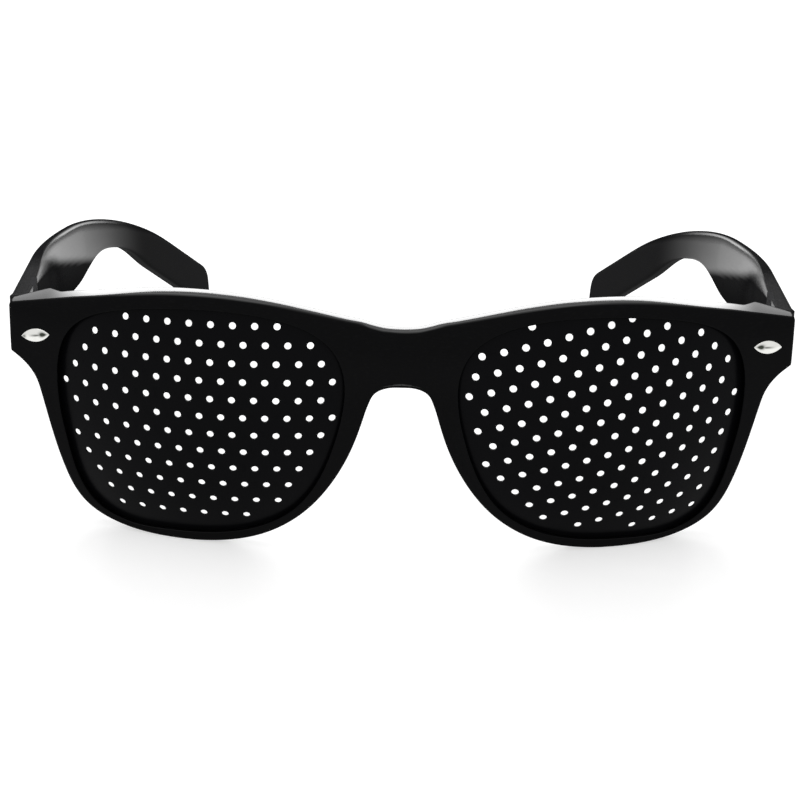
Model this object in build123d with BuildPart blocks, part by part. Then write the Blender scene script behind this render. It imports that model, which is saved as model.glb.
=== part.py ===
from build123d import *
from math import ceil, cos, radians, sin, sqrt, tan
import os

os.makedirs("parts", exist_ok=True)

# Pinhole glasses in millimetres, standing open on a table at Z 0.
# The front faces -Y and the temples run back along +Y. Left is -X, as seen from the front.
# Places are given in the front's own directions: across (X), depth (back) and height (up).

# Whole object
lean = 2.6                # degrees that the front's top leans forward on the table
origin_back = 61.4        # from the front's own zero back to the middle of the depth
rest_flat = 0.12          # how far the rims' lowest points are worn flat
cut_over = 3.0            # overrun of every cut
fit_gap = 0.06            # clearance round pieces set into the plastic

# Front outline, half of it, in shares of the half width and the height
half_width = 72.8
front_height = 51.0
top_shares = [(0, 0.881), (0.075, 0.891), (0.162, 0.923), (0.270, 0.963), (0.385, 0.991),
              (0.495, 0.999), (0.618, 0.986), (0.748, 0.946), (0.877, 0.894), (0.996, 0.845)]
side_shares = [(1.0, 0.833), (0.996, 0.671)]
rim_shares = [(0.961, 0.641), (0.932, 0.595), (0.917, 0.536), (0.891, 0.385), (0.859, 0.218),
              (0.812, 0.087), (0.734, 0.024), (0.622, 0), (0.487, 0.006), (0.350, 0.055),
              (0.246, 0.155), (0.175, 0.281), (0.110, 0.475), (0.090, 0.571)]
arch_shares = [(0.080, 0.614), (0.069, 0.647), (0.040, 0.674), (0, 0.679)]

# Aperture outline, in shares of its half width and half height about its middle
aperture_x_share = 0.5064
aperture_height_share = 0.4962
aperture_half_width_share = 0.3630
aperture_half_height_share = 0.4528
aperture_x = aperture_x_share * half_width
aperture_height = aperture_height_share * front_height
aperture_half_width = aperture_half_width_share * half_width
aperture_half_height = aperture_half_height_share * front_height
aperture_shares = [(1.0, 0.151), (0.999, 0.382), (0.931, 0.638), (0.778, 0.805), (0.566, 0.905),
                   (0.247, 0.976), (-0.090, 1.0), (-0.442, 0.966), (-0.715, 0.872),
                   (-0.907, 0.708), (-0.988, 0.519), (-1.0, 0.272), (-0.943, -0.052),
                   (-0.820, -0.431), (-0.643, -0.710), (-0.399, -0.883), (-0.069, -0.975),
                   (0.251, -1.0), (0.534, -0.992), (0.748, -0.867), (0.875, -0.618),
                   (0.945, -0.277), (0.981, -0.057)]

# Lens sheets: part of a ball, with a hexagonal grid of pinholes square to the sheet
lens_radius = 66.0        # to the middle of the sheet's thickness
lens_thick = 0.4
lens_x_share = 0.4533     # middle of the pinhole grid
lens_height_share = 0.6814
lens_x = lens_x_share * half_width
lens_height = lens_height_share * front_height
lens_tilt = 8.0           # degrees that the sheet faces upwards there
lens_wrap = 5.9           # degrees that it faces outwards there
lens_lip = 0.7            # how far the sheet reaches under the rim
pinhole_pitch = 4.0
pinhole_radii = {"left": 0.64, "right": 0.69}
grid_turns = {"left": -0.1, "right": 14.9}
grid_starts = {"left": (-1.77, -2.63), "right": (0.69, -3.07)}
window_in = 1.3           # middles of the pinholes stay this far inside the aperture
window_up = 0.9           # and that area is moved up by this

# Front depths
rim_proud = 1.2           # rim's face in front of the middle of the sheet
rim_thick = 3.5
bridge_thick = 3.0
end_thick = 3.9
bridge_flat_share = 0.0467
bridge_crease_share = 0.1016
bridge_flat_x = bridge_flat_share * half_width
bridge_crease_x = bridge_crease_share * half_width
bridge_step = 0.9         # how far the bridge's flat stands forward of the creases
arc_end_share = 0.8242
arc_end_x = arc_end_share * half_width
end_slope = 0.5           # how fast the end pieces run back
block_deep = 4.32         # hinge block's back behind the end piece's face at its far end

# Moulded nose pads, low ridges behind the rims
pad_x_share = 0.1511
pad_height_share = 0.3843
pad_x = pad_x_share * half_width
pad_height = pad_height_share * front_height
pad_turn = 26.0
pad_half_long = 6.0
pad_half_wide = 1.2
pad_reach = 2.2
pad_shift = 1.0           # drift of a pad that shrank to nothing: pads spread towards the face
pad_end_share = 0.72

# Temples
temple_thick = 3.7
temple_proud = 0.2        # outer face beyond the end piece
temple_x = half_width + temple_proud
temple_gap = 0.2
temple_top_share = 0.8451
temple_top = temple_top_share * front_height
temple_front_tall = 9.8
temple_straight_run = 31.0    # from the temple's front to where it starts to curve inwards
temple_curve = 92.0
temple_turn = 26.3        # degrees that the ear piece points inwards
top_fall = 10.3           # degrees that the upper edge falls towards the ear
top_run = 57.0
ear_radius = 70.0
ear_fall = 41.2           # degrees that the ear piece falls
ear_tall = 9.4            # height of the ear piece, measured upright
tip_run = 2.3             # how far the tip runs on behind its foot on the table
tip_radius = 5.6
heel_radius = 0.8
belly_shares = [(0.153, 0.659), (0.319, 0.571), (0.486, 0.511), (0.629, 0.482), (0.725, 0.542),
                (0.796, 0.515), (0.856, 0.447)]   # of the run to the ear and of temple_top
ear_start_share = 0.952   # where the lower edge turns straight
temple_soft = 0.8

# Hinges: five knuckles on one screw, beside the temple's inner face
pivot_in = 1.9
knuckle_radius = 1.5
knuckle_tall = 1.25
knuckle_gap = 0.08
knuckle_count = 5
hinge_below = 8.1         # lowest knuckle below the temple's top
hinge_clear = 0.2         # knuckles behind the end piece
block_below = 2.4         # hinge block's underside below the lowest knuckle
block_wide = 2.0          # from the hinge's axis to the block's inner side
bore_radius = 0.78
shank_radius = 0.68
head_radius = 1.25
head_tall = 0.7
slot_wide = 0.35
slot_deep = 0.35
anchor_half_wide = 1.1
anchor_deep = 3.2
leaf_thick = 1.0
leaf_long = 11.0

# Rivets
rivet_in = 5.3            # from the end piece's far end
rivet_below = 4.75        # below the temple's top
rivet_long = 6.1
rivet_tall = 2.5
rivet_proud = 0.55
rivet_edge = 0.15
rivet_sunk = 0.3
rivet_fall = 0.27         # fall of the rivet's length towards its outer point, like the end piece's top
stud_radius = 0.6
stud_long = 2.0

sides = [("left", -1), ("right", 1)]

# Directions of the front, and the middle of the balls that the sheets belong to
across = Vector(1, 0, 0)
back = Vector(0, cos(radians(lean)), sin(radians(lean)))
up = Vector(0, -sin(radians(lean)), cos(radians(lean)))
tilt = radians(lens_tilt)
wrap = radians(lens_wrap)
ball_x = lens_x - lens_radius * sin(wrap)
ball_depth = lens_radius * cos(wrap) * cos(tilt)
ball_height = lens_height - lens_radius * cos(wrap) * sin(tilt)
rim_radius = lens_radius + rim_proud

# Places of hinges and rivets
temple_inner_x = temple_x - temple_thick
pivot_x = temple_inner_x - pivot_in
block_x = pivot_x - block_wide
hinge_low = temple_top - hinge_below
block_low = hinge_low - block_below
rivet_x = half_width - rivet_in
rivet_height = temple_top - rivet_below


def ball_front(x, height, radius):
    """Depth of a ball's front face."""
    return ball_depth - sqrt(radius**2 - (x - ball_x) ** 2 - (height - ball_height) ** 2)


def front_depth(x, height):
    """Depth of the front's face: bridge facets, rim and end piece."""
    crease = ball_front(bridge_crease_x, height, rim_radius)
    if x <= bridge_flat_x:
        return crease - bridge_step
    if x < bridge_crease_x:
        return crease - bridge_step * (bridge_crease_x - x) / (bridge_crease_x - bridge_flat_x)
    if x <= arc_end_x:
        return ball_front(x, height, rim_radius)
    return ball_front(arc_end_x, height, rim_radius) + end_slope * (x - arc_end_x)


joint_depth = front_depth(half_width, rivet_height) + block_deep    # where the temples meet the end pieces
low_x = rim_shares[7][0] * half_width
rest_drop = front_depth(low_x, 0) * sin(radians(lean)) + rest_flat
foot = Vector(0, -origin_back, -rest_drop)


def spot(x, depth, height):
    return foot + across * x + back * depth + up * height


def face_plane(depth=0):
    return Plane(origin=spot(0, depth, 0), x_dir=across, z_dir=-back)


def level_plane(height):
    return Plane(origin=spot(0, 0, height), x_dir=across, z_dir=up)


def side_plane(x):
    return Plane(origin=spot(x, 0, 0), x_dir=back, z_dir=across)


def table_height(depth):
    """Height of the table at a depth."""
    return (rest_drop - depth * sin(radians(lean))) / cos(radians(lean))


def aperture_points(sign, grow):
    half_x = aperture_half_width + grow
    half_height = aperture_half_height + grow
    return [(sign * (aperture_x + u * half_x), aperture_height + v * half_height)
            for u, v in aperture_shares]


# Band: everything between the front's face and its back, before the outline is cut
band_heights = [-cut_over + n * (front_height + 2 * cut_over) / 4 for n in range(5)]
band_end = half_width + cut_over
arc_mid_x = (bridge_crease_x + arc_end_x) / 2
block_thick = end_thick / 2
block_front = front_depth(arc_end_x, rivet_height) + block_thick

with BuildPart() as band:
    for height in band_heights:
        stations = [bridge_flat_x, bridge_crease_x, arc_mid_x, arc_end_x, band_end]
        thicks = [bridge_thick, bridge_thick, rim_thick, end_thick, end_thick]
        with BuildSketch(level_plane(height)):
            with BuildLine():
                for thick in ([0] * len(stations), thicks):
                    flat, crease, middle, end, far = [
                        (x, front_depth(x, height) + t) for x, t in zip(stations, thick)]
                    for s in (1, -1):
                        Line((s * flat[0], flat[1]), (s * crease[0], crease[1]))
                        ThreePointArc((s * crease[0], crease[1]), (s * middle[0], middle[1]),
                                      (s * end[0], end[1]))
                        Line((s * end[0], end[1]), (s * far[0], far[1]))
                    Line((-flat[0], flat[1]), flat)
                far_depth = front_depth(band_end, height)
                for s in (1, -1):
                    Line((s * band_end, far_depth), (s * band_end, far_depth + end_thick))
            make_face()
    loft()
    # hinge blocks behind the end pieces, with flat backs for the temples to meet
    for name, s in sides:
        with BuildSketch(level_plane(block_low)):
            with BuildLine():
                Polyline((s * arc_end_x, block_front), (s * arc_end_x, block_front + block_thick),
                         (s * block_x, joint_depth), (s * band_end, joint_depth),
                         (s * band_end, front_depth(band_end, rivet_height) + block_thick),
                         close=True)
            make_face()
        extrude(amount=front_height + cut_over - block_low)


# Moulded nose pads, one loft each out of the rim's back
with BuildPart() as pads:
    for name, s in sides:
        pad_root = ball_front(pad_x, pad_height, rim_radius) + rim_thick / 2
        for reach, share in ((0, 1), (rim_thick / 2 + pad_reach, pad_end_share)):
            with BuildSketch(face_plane(pad_root + reach)):
                with Locations((s * (pad_x + pad_shift * (1 - share)), pad_height)):
                    Ellipse(pad_half_wide * share, pad_half_long * share, rotation=s * pad_turn)
        loft()


def sheet(sign, grow, gap):
    """A curved sheet: the aperture's outline grown, between two balls of one centre."""
    with BuildPart() as blank:
        with BuildSketch(face_plane(-cut_over)):
            with BuildLine():
                Spline(*aperture_points(sign, grow), periodic=True)
            make_face()
        extrude(amount=-(ball_depth / 2 + cut_over))
        with Locations(spot(sign * ball_x, ball_depth, ball_height)):
            Sphere(lens_radius + lens_thick / 2 + gap, mode=Mode.INTERSECT)
            Sphere(lens_radius - lens_thick / 2 - gap, mode=Mode.SUBTRACT)
    return blank.part


def pinholes(name, sign):
    """Places of the pinholes, square to the sheet, where the aperture shows them."""
    grid = Plane(origin=spot(sign * lens_x, 0, lens_height),
                 x_dir=across * cos(wrap) + (back * cos(tilt) - up * sin(tilt)) * (sign * sin(wrap)),
                 z_dir=across * (sign * sin(wrap)) - (back * cos(tilt) - up * sin(tilt)) * cos(wrap))
    centre = spot(sign * ball_x, ball_depth, ball_height)
    with BuildSketch(Plane.XY) as window:
        with BuildLine():
            Spline(*[(x, height + window_up) for x, height in aperture_points(sign, -window_in)],
                   periodic=True)
        make_face()
    turn = radians(grid_turns[name])
    start_u, start_v = grid_starts[name]
    steps = ceil(2 * aperture_half_width / pinhole_pitch)
    found = []
    for i in range(-2 * steps, 2 * steps + 1):
        for j in range(-steps, steps + 1):
            a = pinhole_pitch * (i + j / 2)
            b = pinhole_pitch * j * sqrt(3) / 2
            u = start_u + a * cos(turn) - b * sin(turn)
            v = start_v + a * sin(turn) + b * cos(turn)
            if u * u + v * v > (2 * aperture_half_width) ** 2:
                continue
            flat = grid.from_local_coords((u, v, sqrt(lens_radius**2 - u * u - v * v) - lens_radius))
            seen = face_plane().to_local_coords(flat)
            if window.sketch.face().is_inside((seen.X, seen.Y, 0)):
                found.append(Plane(origin=flat, z_dir=flat - centre))
    return found


# Hinge column: knuckle heights and the screw's axis, just behind the end piece
knuckle_step = knuckle_tall + knuckle_gap
hinge_tall = knuckle_count * knuckle_step - knuckle_gap
pivot_depth = joint_depth + hinge_clear + knuckle_radius


def rivet_plane(sign):
    """Plane on the end piece's face, its x along the end piece."""
    depth = front_depth(rivet_x, rivet_height)
    rise = (rivet_height - ball_height) / (ball_depth - ball_front(arc_end_x, rivet_height, rim_radius))
    return Plane(origin=spot(sign * rivet_x, depth, rivet_height),
                 x_dir=across + (back * end_slope - up * rivet_fall) * sign,
                 z_dir=across * (sign * end_slope) - back + up * rise)


def almond(plane, grow):
    """Almond of two equal arcs, its points along the plane's x."""
    with BuildSketch(plane) as shape:
        with BuildLine():
            ends = rivet_long / 2 + grow
            rise = rivet_tall / 2 + grow
            ThreePointArc((-ends, 0), (0, rise), (ends, 0))
            ThreePointArc((ends, 0), (0, -rise), (-ends, 0))
        make_face()
    return shape.sketch


with BuildPart() as front_frame:
    with BuildSketch(face_plane(-cut_over)):
        with BuildLine():
            top = Spline(*[(u * half_width, v * front_height) for u, v in top_shares],
                         tangents=((1, 0), (1, -0.3)))
            side = [(u * half_width, v * front_height) for u, v in side_shares]
            arch = [(u * half_width, v * front_height) for u, v in arch_shares]
            rim = [(u * half_width, v * front_height) for u, v in rim_shares]
            Line(top @ 1, side[0])
            Line(side[0], side[1])
            rim_line = Spline(side[1], *rim)
            rim_way = rim_line % 1
            Spline(rim[-1], *arch, tangents=((rim_way.X, rim_way.Y), (-1, 0)))
            mirror(about=Plane.YZ)
        make_face()
    extrude(amount=-(joint_depth + cut_over))
    add(band.part, mode=Mode.INTERSECT)
    add(pads.part)
    for name, s in sides:
        with BuildSketch(face_plane(-cut_over)):
            with BuildLine():
                Spline(*aperture_points(s, 0), periodic=True)
            make_face()
        extrude(amount=-(joint_depth + 2 * cut_over), mode=Mode.SUBTRACT)
        add(sheet(s, lens_lip + fit_gap, fit_gap), mode=Mode.SUBTRACT)
        # seat and stud hole of the rivet
        seat = rivet_plane(s)
        extrude(almond(seat.offset(-rivet_sunk), fit_gap), amount=cut_over, mode=Mode.SUBTRACT)
        with BuildSketch(seat.offset(-rivet_sunk)):
            Circle(stud_radius + fit_gap)
        extrude(amount=-(stud_long + fit_gap), mode=Mode.SUBTRACT)
        # pocket for the hinge's anchor
        with BuildSketch(level_plane(hinge_low - fit_gap)):
            with Locations((s * pivot_x, joint_depth)):
                Rectangle(2 * (anchor_half_wide + fit_gap), 2 * (anchor_deep + fit_gap))
        extrude(amount=hinge_tall + 2 * fit_gap, mode=Mode.SUBTRACT)
    with BuildSketch(Plane.XY):
        Rectangle(2 * band_end, 2 * origin_back + 2 * cut_over)
    extrude(amount=-cut_over, mode=Mode.SUBTRACT)
front_frame.part.label = "front_frame"
export_step(front_frame.part, "parts/front_frame.step")

# Temple's side outline, as depth and height: straight, ear bend, ear piece down to the table
temple_front = joint_depth + temple_gap
temple_straight = temple_front + temple_straight_run
fall = radians(top_fall)
drop = radians(ear_fall)
shoulder = (temple_front + top_run * cos(fall), temple_top - top_run * sin(fall))
ear_end = (shoulder[0] + ear_radius * (sin(drop) - sin(fall)),
           shoulder[1] - ear_radius * (cos(fall) - cos(drop)))
ear_way = Vector(cos(drop), -sin(drop))
ear_run = ear_end[0] - temple_front


def ear_edge(depth, below):
    """Point of the ear piece's straight edges."""
    return (depth, ear_end[1] - below - (depth - ear_end[0]) * tan(drop))


ear_low = ear_edge(temple_front + ear_start_share * ear_run, ear_tall)
belly = [(temple_front + u * ear_run, v * temple_top) for u, v in belly_shares]
slope = tan(radians(lean))
heel_depth = ((ear_end[1] - ear_tall + ear_end[0] * tan(drop) - table_height(0))
              / (tan(drop) - slope))
tip_depth = heel_depth + tip_run
heel = ear_edge(heel_depth, ear_tall)
tip_low = (tip_depth, table_height(tip_depth))
tip_high = ear_edge(tip_depth, 0)

for name, s in sides:
    # perforated sheet
    with BuildPart() as lens:
        add(sheet(s, lens_lip, 0))
        with Locations(*pinholes(name, s)):
            Cylinder(pinhole_radii[name], 8 * lens_thick, mode=Mode.SUBTRACT)
    lens.part.label = name + "_pinhole_lens"
    export_step(lens.part, "parts/" + name + "_pinhole_lens.step")

    # bright rivet: almond with a ridge along it, and a stud in the end piece
    with BuildPart() as rivet:
        seat = rivet_plane(s).offset(-rivet_sunk)
        extrude(almond(seat, 0), amount=rivet_sunk + rivet_proud)
        roof = Plane(origin=seat.origin, x_dir=seat.y_dir, z_dir=seat.x_dir)
        with BuildSketch(roof):
            with BuildLine():
                Polyline((-rivet_tall, 0), (rivet_tall, 0), (rivet_tall / 2, rivet_sunk + rivet_edge),
                         (0, rivet_sunk + rivet_proud), (-rivet_tall / 2, rivet_sunk + rivet_edge),
                         close=True)
            make_face()
        extrude(amount=rivet_long, both=True, mode=Mode.INTERSECT)
        with BuildSketch(seat):
            Circle(stud_radius)
        extrude(amount=-stud_long)
    rivet.part.label = name + "_front_rivet"
    export_step(rivet.part, "parts/" + name + "_front_rivet.step")

    # front hinge: anchor in the end piece and three knuckles behind it
    with BuildPart() as front_hinge:
        with BuildSketch(level_plane(hinge_low)):
            with Locations((s * pivot_x, joint_depth - anchor_deep / 2)):
                Rectangle(2 * anchor_half_wide, anchor_deep)
        extrude(amount=hinge_tall)
        for k in range(0, knuckle_count, 2):
            with BuildSketch(level_plane(hinge_low + k * knuckle_step)):
                with Locations((s * pivot_x, pivot_depth)):
                    Circle(knuckle_radius)
                with Locations((s * pivot_x, (joint_depth + pivot_depth) / 2)):
                    Rectangle(2 * anchor_half_wide, pivot_depth - joint_depth)
            extrude(amount=knuckle_tall)
        with BuildSketch(level_plane(hinge_low - cut_over)):
            with Locations((s * pivot_x, pivot_depth)):
                Circle(bore_radius)
        extrude(amount=hinge_tall + 2 * cut_over, mode=Mode.SUBTRACT)
    front_hinge.part.label = name + "_front_hinge"
    export_step(front_hinge.part, "parts/" + name + "_front_hinge.step")

    # temple hinge: two knuckles, webs and a leaf let into the temple's inner face
    with BuildPart() as temple_hinge:
        with BuildSketch(level_plane(hinge_low)):
            with Locations((s * (temple_inner_x + leaf_thick / 2),
                            pivot_depth - anchor_half_wide + leaf_long / 2)):
                Rectangle(leaf_thick, leaf_long)
        extrude(amount=hinge_tall)
        for k in range(1, knuckle_count, 2):
            with BuildSketch(level_plane(hinge_low + k * knuckle_step)):
                with Locations((s * pivot_x, pivot_depth)):
                    Circle(knuckle_radius)
                with Locations((s * (pivot_x + temple_inner_x) / 2, pivot_depth)):
                    Rectangle(temple_inner_x - pivot_x, 2 * anchor_half_wide)
            extrude(amount=knuckle_tall)
        with BuildSketch(level_plane(hinge_low - cut_over)):
            with Locations((s * pivot_x, pivot_depth)):
                Circle(bore_radius)
        extrude(amount=hinge_tall + 2 * cut_over, mode=Mode.SUBTRACT)
    temple_hinge.part.label = name + "_temple_hinge"
    export_step(temple_hinge.part, "parts/" + name + "_temple_hinge.step")

    # hinge screw with a slotted head
    with BuildPart() as screw:
        with BuildSketch(level_plane(hinge_low)):
            with Locations((s * pivot_x, pivot_depth)):
                Circle(shank_radius)
        extrude(amount=hinge_tall)
        with BuildSketch(level_plane(hinge_low + hinge_tall)):
            with Locations((s * pivot_x, pivot_depth)):
                Circle(head_radius)
        extrude(amount=head_tall)
        with BuildSketch(level_plane(hinge_low + hinge_tall + head_tall - slot_deep)):
            with Locations((s * pivot_x, pivot_depth)):
                Rectangle(3 * head_radius, slot_wide)
        extrude(amount=head_tall, mode=Mode.SUBTRACT)
    screw.part.label = name + "_hinge_screw"
    export_step(screw.part, "parts/" + name + "_hinge_screw.step")

    # temple: its side outline cut out of an arm bent in plan between two parallel curves
    with BuildPart() as temple:
        with BuildSketch(level_plane(-front_height)):
            with BuildLine():
                outer = Line((s * temple_x, temple_front), (s * temple_x, temple_straight))
                outer_bend = JernArc(outer @ 1, (0, 1), temple_curve, s * temple_turn)
                outer_ear = PolarLine(outer_bend @ 1, temple_curve, 90 + s * temple_turn)
                inner = Line((s * temple_inner_x, temple_front), (s * temple_inner_x, temple_straight))
                inner_bend = JernArc(inner @ 1, (0, 1), temple_curve - temple_thick, s * temple_turn)
                inner_ear = PolarLine(inner_bend @ 1, temple_curve, 90 + s * temple_turn)
                Line(outer @ 0, inner @ 0)
                Line(outer_ear @ 1, inner_ear @ 1)
            make_face()
        extrude(amount=2 * front_height)
        with BuildSketch(side_plane(0)) as side_view:
            with BuildLine():
                Polyline(heel, tip_low, tip_high)
                Line(tip_high, ear_end)
                arc = JernArc(shoulder, (cos(radians(top_fall)), -sin(radians(top_fall))),
                              ear_radius, top_fall - ear_fall)
                Line((temple_front, temple_top), shoulder)
                Line((temple_front, temple_top), (temple_front, temple_top - temple_front_tall))
                Spline((temple_front, temple_top - temple_front_tall), *belly, ear_low,
                       tangents=((1, -0.35), (ear_way.X, ear_way.Y)))
                Line(ear_low, heel)
            make_face()
            for corner, radius in ((tip_high, tip_radius), (tip_low, heel_radius)):
                fillet(side_view.vertices().sort_by_distance(corner)[0], radius)
        extrude(amount=s * (temple_x + cut_over), mode=Mode.INTERSECT)
        front_end = temple.faces().sort_by(Axis.Y)[0]
        long_edges = [e for e in temple.edges() if e.center().Y > front_end.center().Y + temple_soft]
        fillet(long_edges, temple_soft)
        # recess for the hinge's leaf
        with BuildSketch(level_plane(hinge_low - fit_gap)):
            with Locations((s * (temple_inner_x + leaf_thick / 2),
                            pivot_depth - anchor_half_wide + leaf_long / 2)):
                Rectangle(leaf_thick + 2 * fit_gap, leaf_long + 2 * fit_gap)
        extrude(amount=hinge_tall + 2 * fit_gap, mode=Mode.SUBTRACT)
    temple.part.label = name + "_temple"
    export_step(temple.part, "parts/" + name + "_temple.step")
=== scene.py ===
# Pinhole glasses: a black plastic front, two sheets full of pinholes, hinged temples and metal parts.
# Lengths are metres. Places are given in the front's own directions: across, depth back, height up.

import bmesh
import bpy
import numpy as np
from math import cos, radians, sin, sqrt, tan
from mathutils import Matrix, Vector
from mathutils.geometry import delaunay_2d_cdt


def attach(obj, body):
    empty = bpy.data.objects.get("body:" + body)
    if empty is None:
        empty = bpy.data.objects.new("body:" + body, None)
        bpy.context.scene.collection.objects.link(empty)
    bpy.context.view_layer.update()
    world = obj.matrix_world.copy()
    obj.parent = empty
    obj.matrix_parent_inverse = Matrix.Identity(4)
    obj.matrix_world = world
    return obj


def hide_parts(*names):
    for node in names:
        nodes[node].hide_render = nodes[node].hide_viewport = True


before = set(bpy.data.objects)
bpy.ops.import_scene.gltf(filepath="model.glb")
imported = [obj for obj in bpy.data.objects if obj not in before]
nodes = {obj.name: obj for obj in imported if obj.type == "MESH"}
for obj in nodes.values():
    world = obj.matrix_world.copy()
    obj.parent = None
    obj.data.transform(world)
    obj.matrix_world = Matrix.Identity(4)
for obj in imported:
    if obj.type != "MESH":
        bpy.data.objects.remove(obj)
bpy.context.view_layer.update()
mm = 0.001
sides = (("left", -1), ("right", 1))
print("frame loaded:", len(nodes), "nodes")

# Where the front stands

stand = {
    "lean": radians(2.6),  # the front's top leans forward on the table
    "originBack": 61.4 * mm,
    "restDrop": 0.384 * mm,  # rims' lowest points worn flat by this and the lean
}
across = np.array([1.0, 0.0, 0.0])
back = np.array([0.0, cos(stand["lean"]), sin(stand["lean"])])
up = np.array([0.0, -sin(stand["lean"]), cos(stand["lean"])])
foot = np.array([0.0, -stand["originBack"], -stand["restDrop"]])


def place(x, depth, height):
    # point = foot + x across + depth back + height up, for whole arrays
    x, depth, height = np.broadcast_arrays(x, depth, height)
    return foot + x[..., None] * across + depth[..., None] * back + height[..., None] * up


# Curves

spanSteps = 40  # points laid between two given ones before they are evened out
lap = 5  # points that a closed curve repeats at each end


def unit(v):
    # vectors made one long, along the array's last direction
    return v / np.linalg.norm(v, axis=-1, keepdims=True)


def runLength(points):
    # distance along a polyline at each of its points
    return np.concatenate([[0], np.cumsum(np.linalg.norm(np.diff(points, axis=0), axis=1))])


def smoothCurve(points, count, closed=False, startWay=None, endWay=None):
    # a cubic through all points with even bending, resampled evenly along its length
    p = np.array(points, float)
    if closed:
        p = np.vstack([p[-lap:], p, p[:lap + 1]])
    t = runLength(p)
    h = np.diff(t)[:, None]
    chord = np.diff(p, axis=0) / h
    n = len(p)
    a = np.zeros((n, n))
    rhs = np.zeros((n, 2))
    inner = np.arange(1, n - 1)
    a[inner, inner - 1] = h[1:, 0]
    a[inner, inner] = 2 * (h[1:, 0] + h[:-1, 0])
    a[inner, inner + 1] = h[:-1, 0]
    rhs[1:-1] = 3 * (h[:-1] * chord[1:] + h[1:] * chord[:-1])
    for end, nextOne, chordEnd, way in ((0, 1, 0, startWay), (n - 1, n - 2, -1, endWay)):
        if way is None:
            a[end, end], a[end, nextOne] = 2, 1
            rhs[end] = 3 * chord[chordEnd]
        else:
            a[end, end] = 1
            rhs[end] = np.array(way) / np.hypot(*way)
    slope = np.linalg.solve(a, rhs)
    u = np.linspace(0, 1, spanSteps, endpoint=False)[None, :, None]
    k0, k1 = slice(0, n - 1), slice(1, n)
    if closed:
        k0, k1 = slice(lap, n - lap - 1), slice(lap + 1, n - lap)
    h = (t[k1] - t[k0])[:, None, None]
    fine = ((2 * u**3 - 3 * u**2 + 1) * p[k0][:, None] + (u**3 - 2 * u**2 + u) * h * slope[k0][:, None]
            + (3 * u**2 - 2 * u**3) * p[k1][:, None] + (u**3 - u**2) * h * slope[k1][:, None])
    fine = np.vstack([fine.reshape(-1, 2), p[lap] if closed else p[-1]])
    return evenly(fine, count)


def evenly(points, count):
    # the same polyline with its points evenly spaced
    s = runLength(points)
    want = np.linspace(0, s[-1], count)
    return np.stack([np.interp(want, s, points[:, 0]), np.interp(want, s, points[:, 1])], 1)


def inward(points, closed=False):
    # unit normals of a polyline, to the right of its way
    if closed:
        way = np.roll(points, -1, 0) - np.roll(points, 1, 0)
    else:
        way = np.gradient(points, axis=0)
    return unit(np.stack([way[:, 1], -way[:, 0]], 1))


def softStep(v, width):
    # 0 below, v above, rounded over the width
    return (v + np.sqrt(v * v + width * width)) / 2


# Meshes

def newObject(name, data):
    # an object at the origin, linked to the scene
    made = bpy.data.objects.new(name, data)
    bpy.context.scene.collection.objects.link(made)
    return made


def meshPiece(name, verts, faces, body, material):
    # one smooth object, its place in its vertices
    mesh = bpy.data.meshes.new(name)
    mesh.from_pydata(np.reshape(verts, (-1, 3)).tolist(), [], faces)
    mesh.validate()
    mesh.shade_smooth()
    piece = newObject(name, mesh)
    mesh.materials.append(material)
    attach(piece, body)
    return piece


def gridFaces(rows, columns, closedRows=False, closedColumns=False):
    # quads of a grid of points, wrapping round where it is closed
    i = np.arange(rows if closedRows else rows - 1)[:, None]
    j = np.arange(columns if closedColumns else columns - 1)[None, :]
    i2, j2 = (i + 1) % rows, (j + 1) % columns
    quads = np.stack([i * columns + j, i2 * columns + j, i2 * columns + j2, i * columns + j2], -1)
    return quads.reshape(-1, 4)


# Shader writing

class Sock:
    # a shader socket that takes part in plain arithmetic
    def __init__(self, tree, out):
        self.tree = tree
        self.out = out

    def calc(self, operation, *values):
        node = self.tree.nodes.new("ShaderNodeMath")
        node.operation = operation
        for index, value in enumerate(values):
            self.tree.feed(node.inputs[index], value)
        return Sock(self.tree, node.outputs[0])

    def __add__(self, other):
        return self.calc("ADD", self, other)

    def __radd__(self, other):
        return self.calc("ADD", other, self)

    def __sub__(self, other):
        return self.calc("SUBTRACT", self, other)

    def __mul__(self, other):
        return self.calc("MULTIPLY", self, other)

    def clip(self, low=0.0, high=1.0):
        return self.calc("MINIMUM", self.calc("MAXIMUM", self, low), high)


class Shade:
    # the nodes of one material or of the world
    def __init__(self, owner):
        self.owner = owner
        owner.use_nodes = True
        self.nodes = owner.node_tree.nodes
        self.links = owner.node_tree.links
        self.nodes.clear()

    def feed(self, socket, value):
        if isinstance(value, Sock):
            self.links.new(value.out, socket)
        else:
            socket.default_value = value

    def node(self, kind, settings=None, output=0, **inputs):
        made = self.nodes.new("ShaderNode" + kind)
        for key, value in (settings or {}).items():
            setattr(made, key, value)
        for key, value in inputs.items():
            self.feed(made.inputs[key.replace("_", " ")], value)
        return Sock(self, made.outputs[output])

    def join(self, kind, values, places=(0, 1, 2), settings=None, output=0):
        # a node whose inputs are known by their places
        made = self.node(kind, settings, output)
        for index, value in zip(places, values):
            self.feed(made.out.node.inputs[index], value)
        return made

    def mixColours(self, share, first, second):
        return self.join("Mix", (share, first, second), (0, 6, 7), {"data_type": "RGBA"}, 2)

    def mixShaders(self, share, first, second):
        return self.join("MixShader", (share, first, second))

    def surface(self, shader, kind="Material"):
        end = self.nodes.new("ShaderNodeOutput" + kind)
        self.links.new(shader.out, end.inputs["Surface"])
        return self.owner


def noise(shade, scale, detail=3.0, roughness=0.5, stretch=None):
    # noise in object space, scale in cells to the metre
    at = shade.node("TexCoord", output=3)
    if stretch:
        at = shade.node("Mapping", Vector=at, Scale=stretch)
    return shade.node("TexNoise", Vector=at, Scale=scale, Detail=detail, Roughness=roughness)


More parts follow.
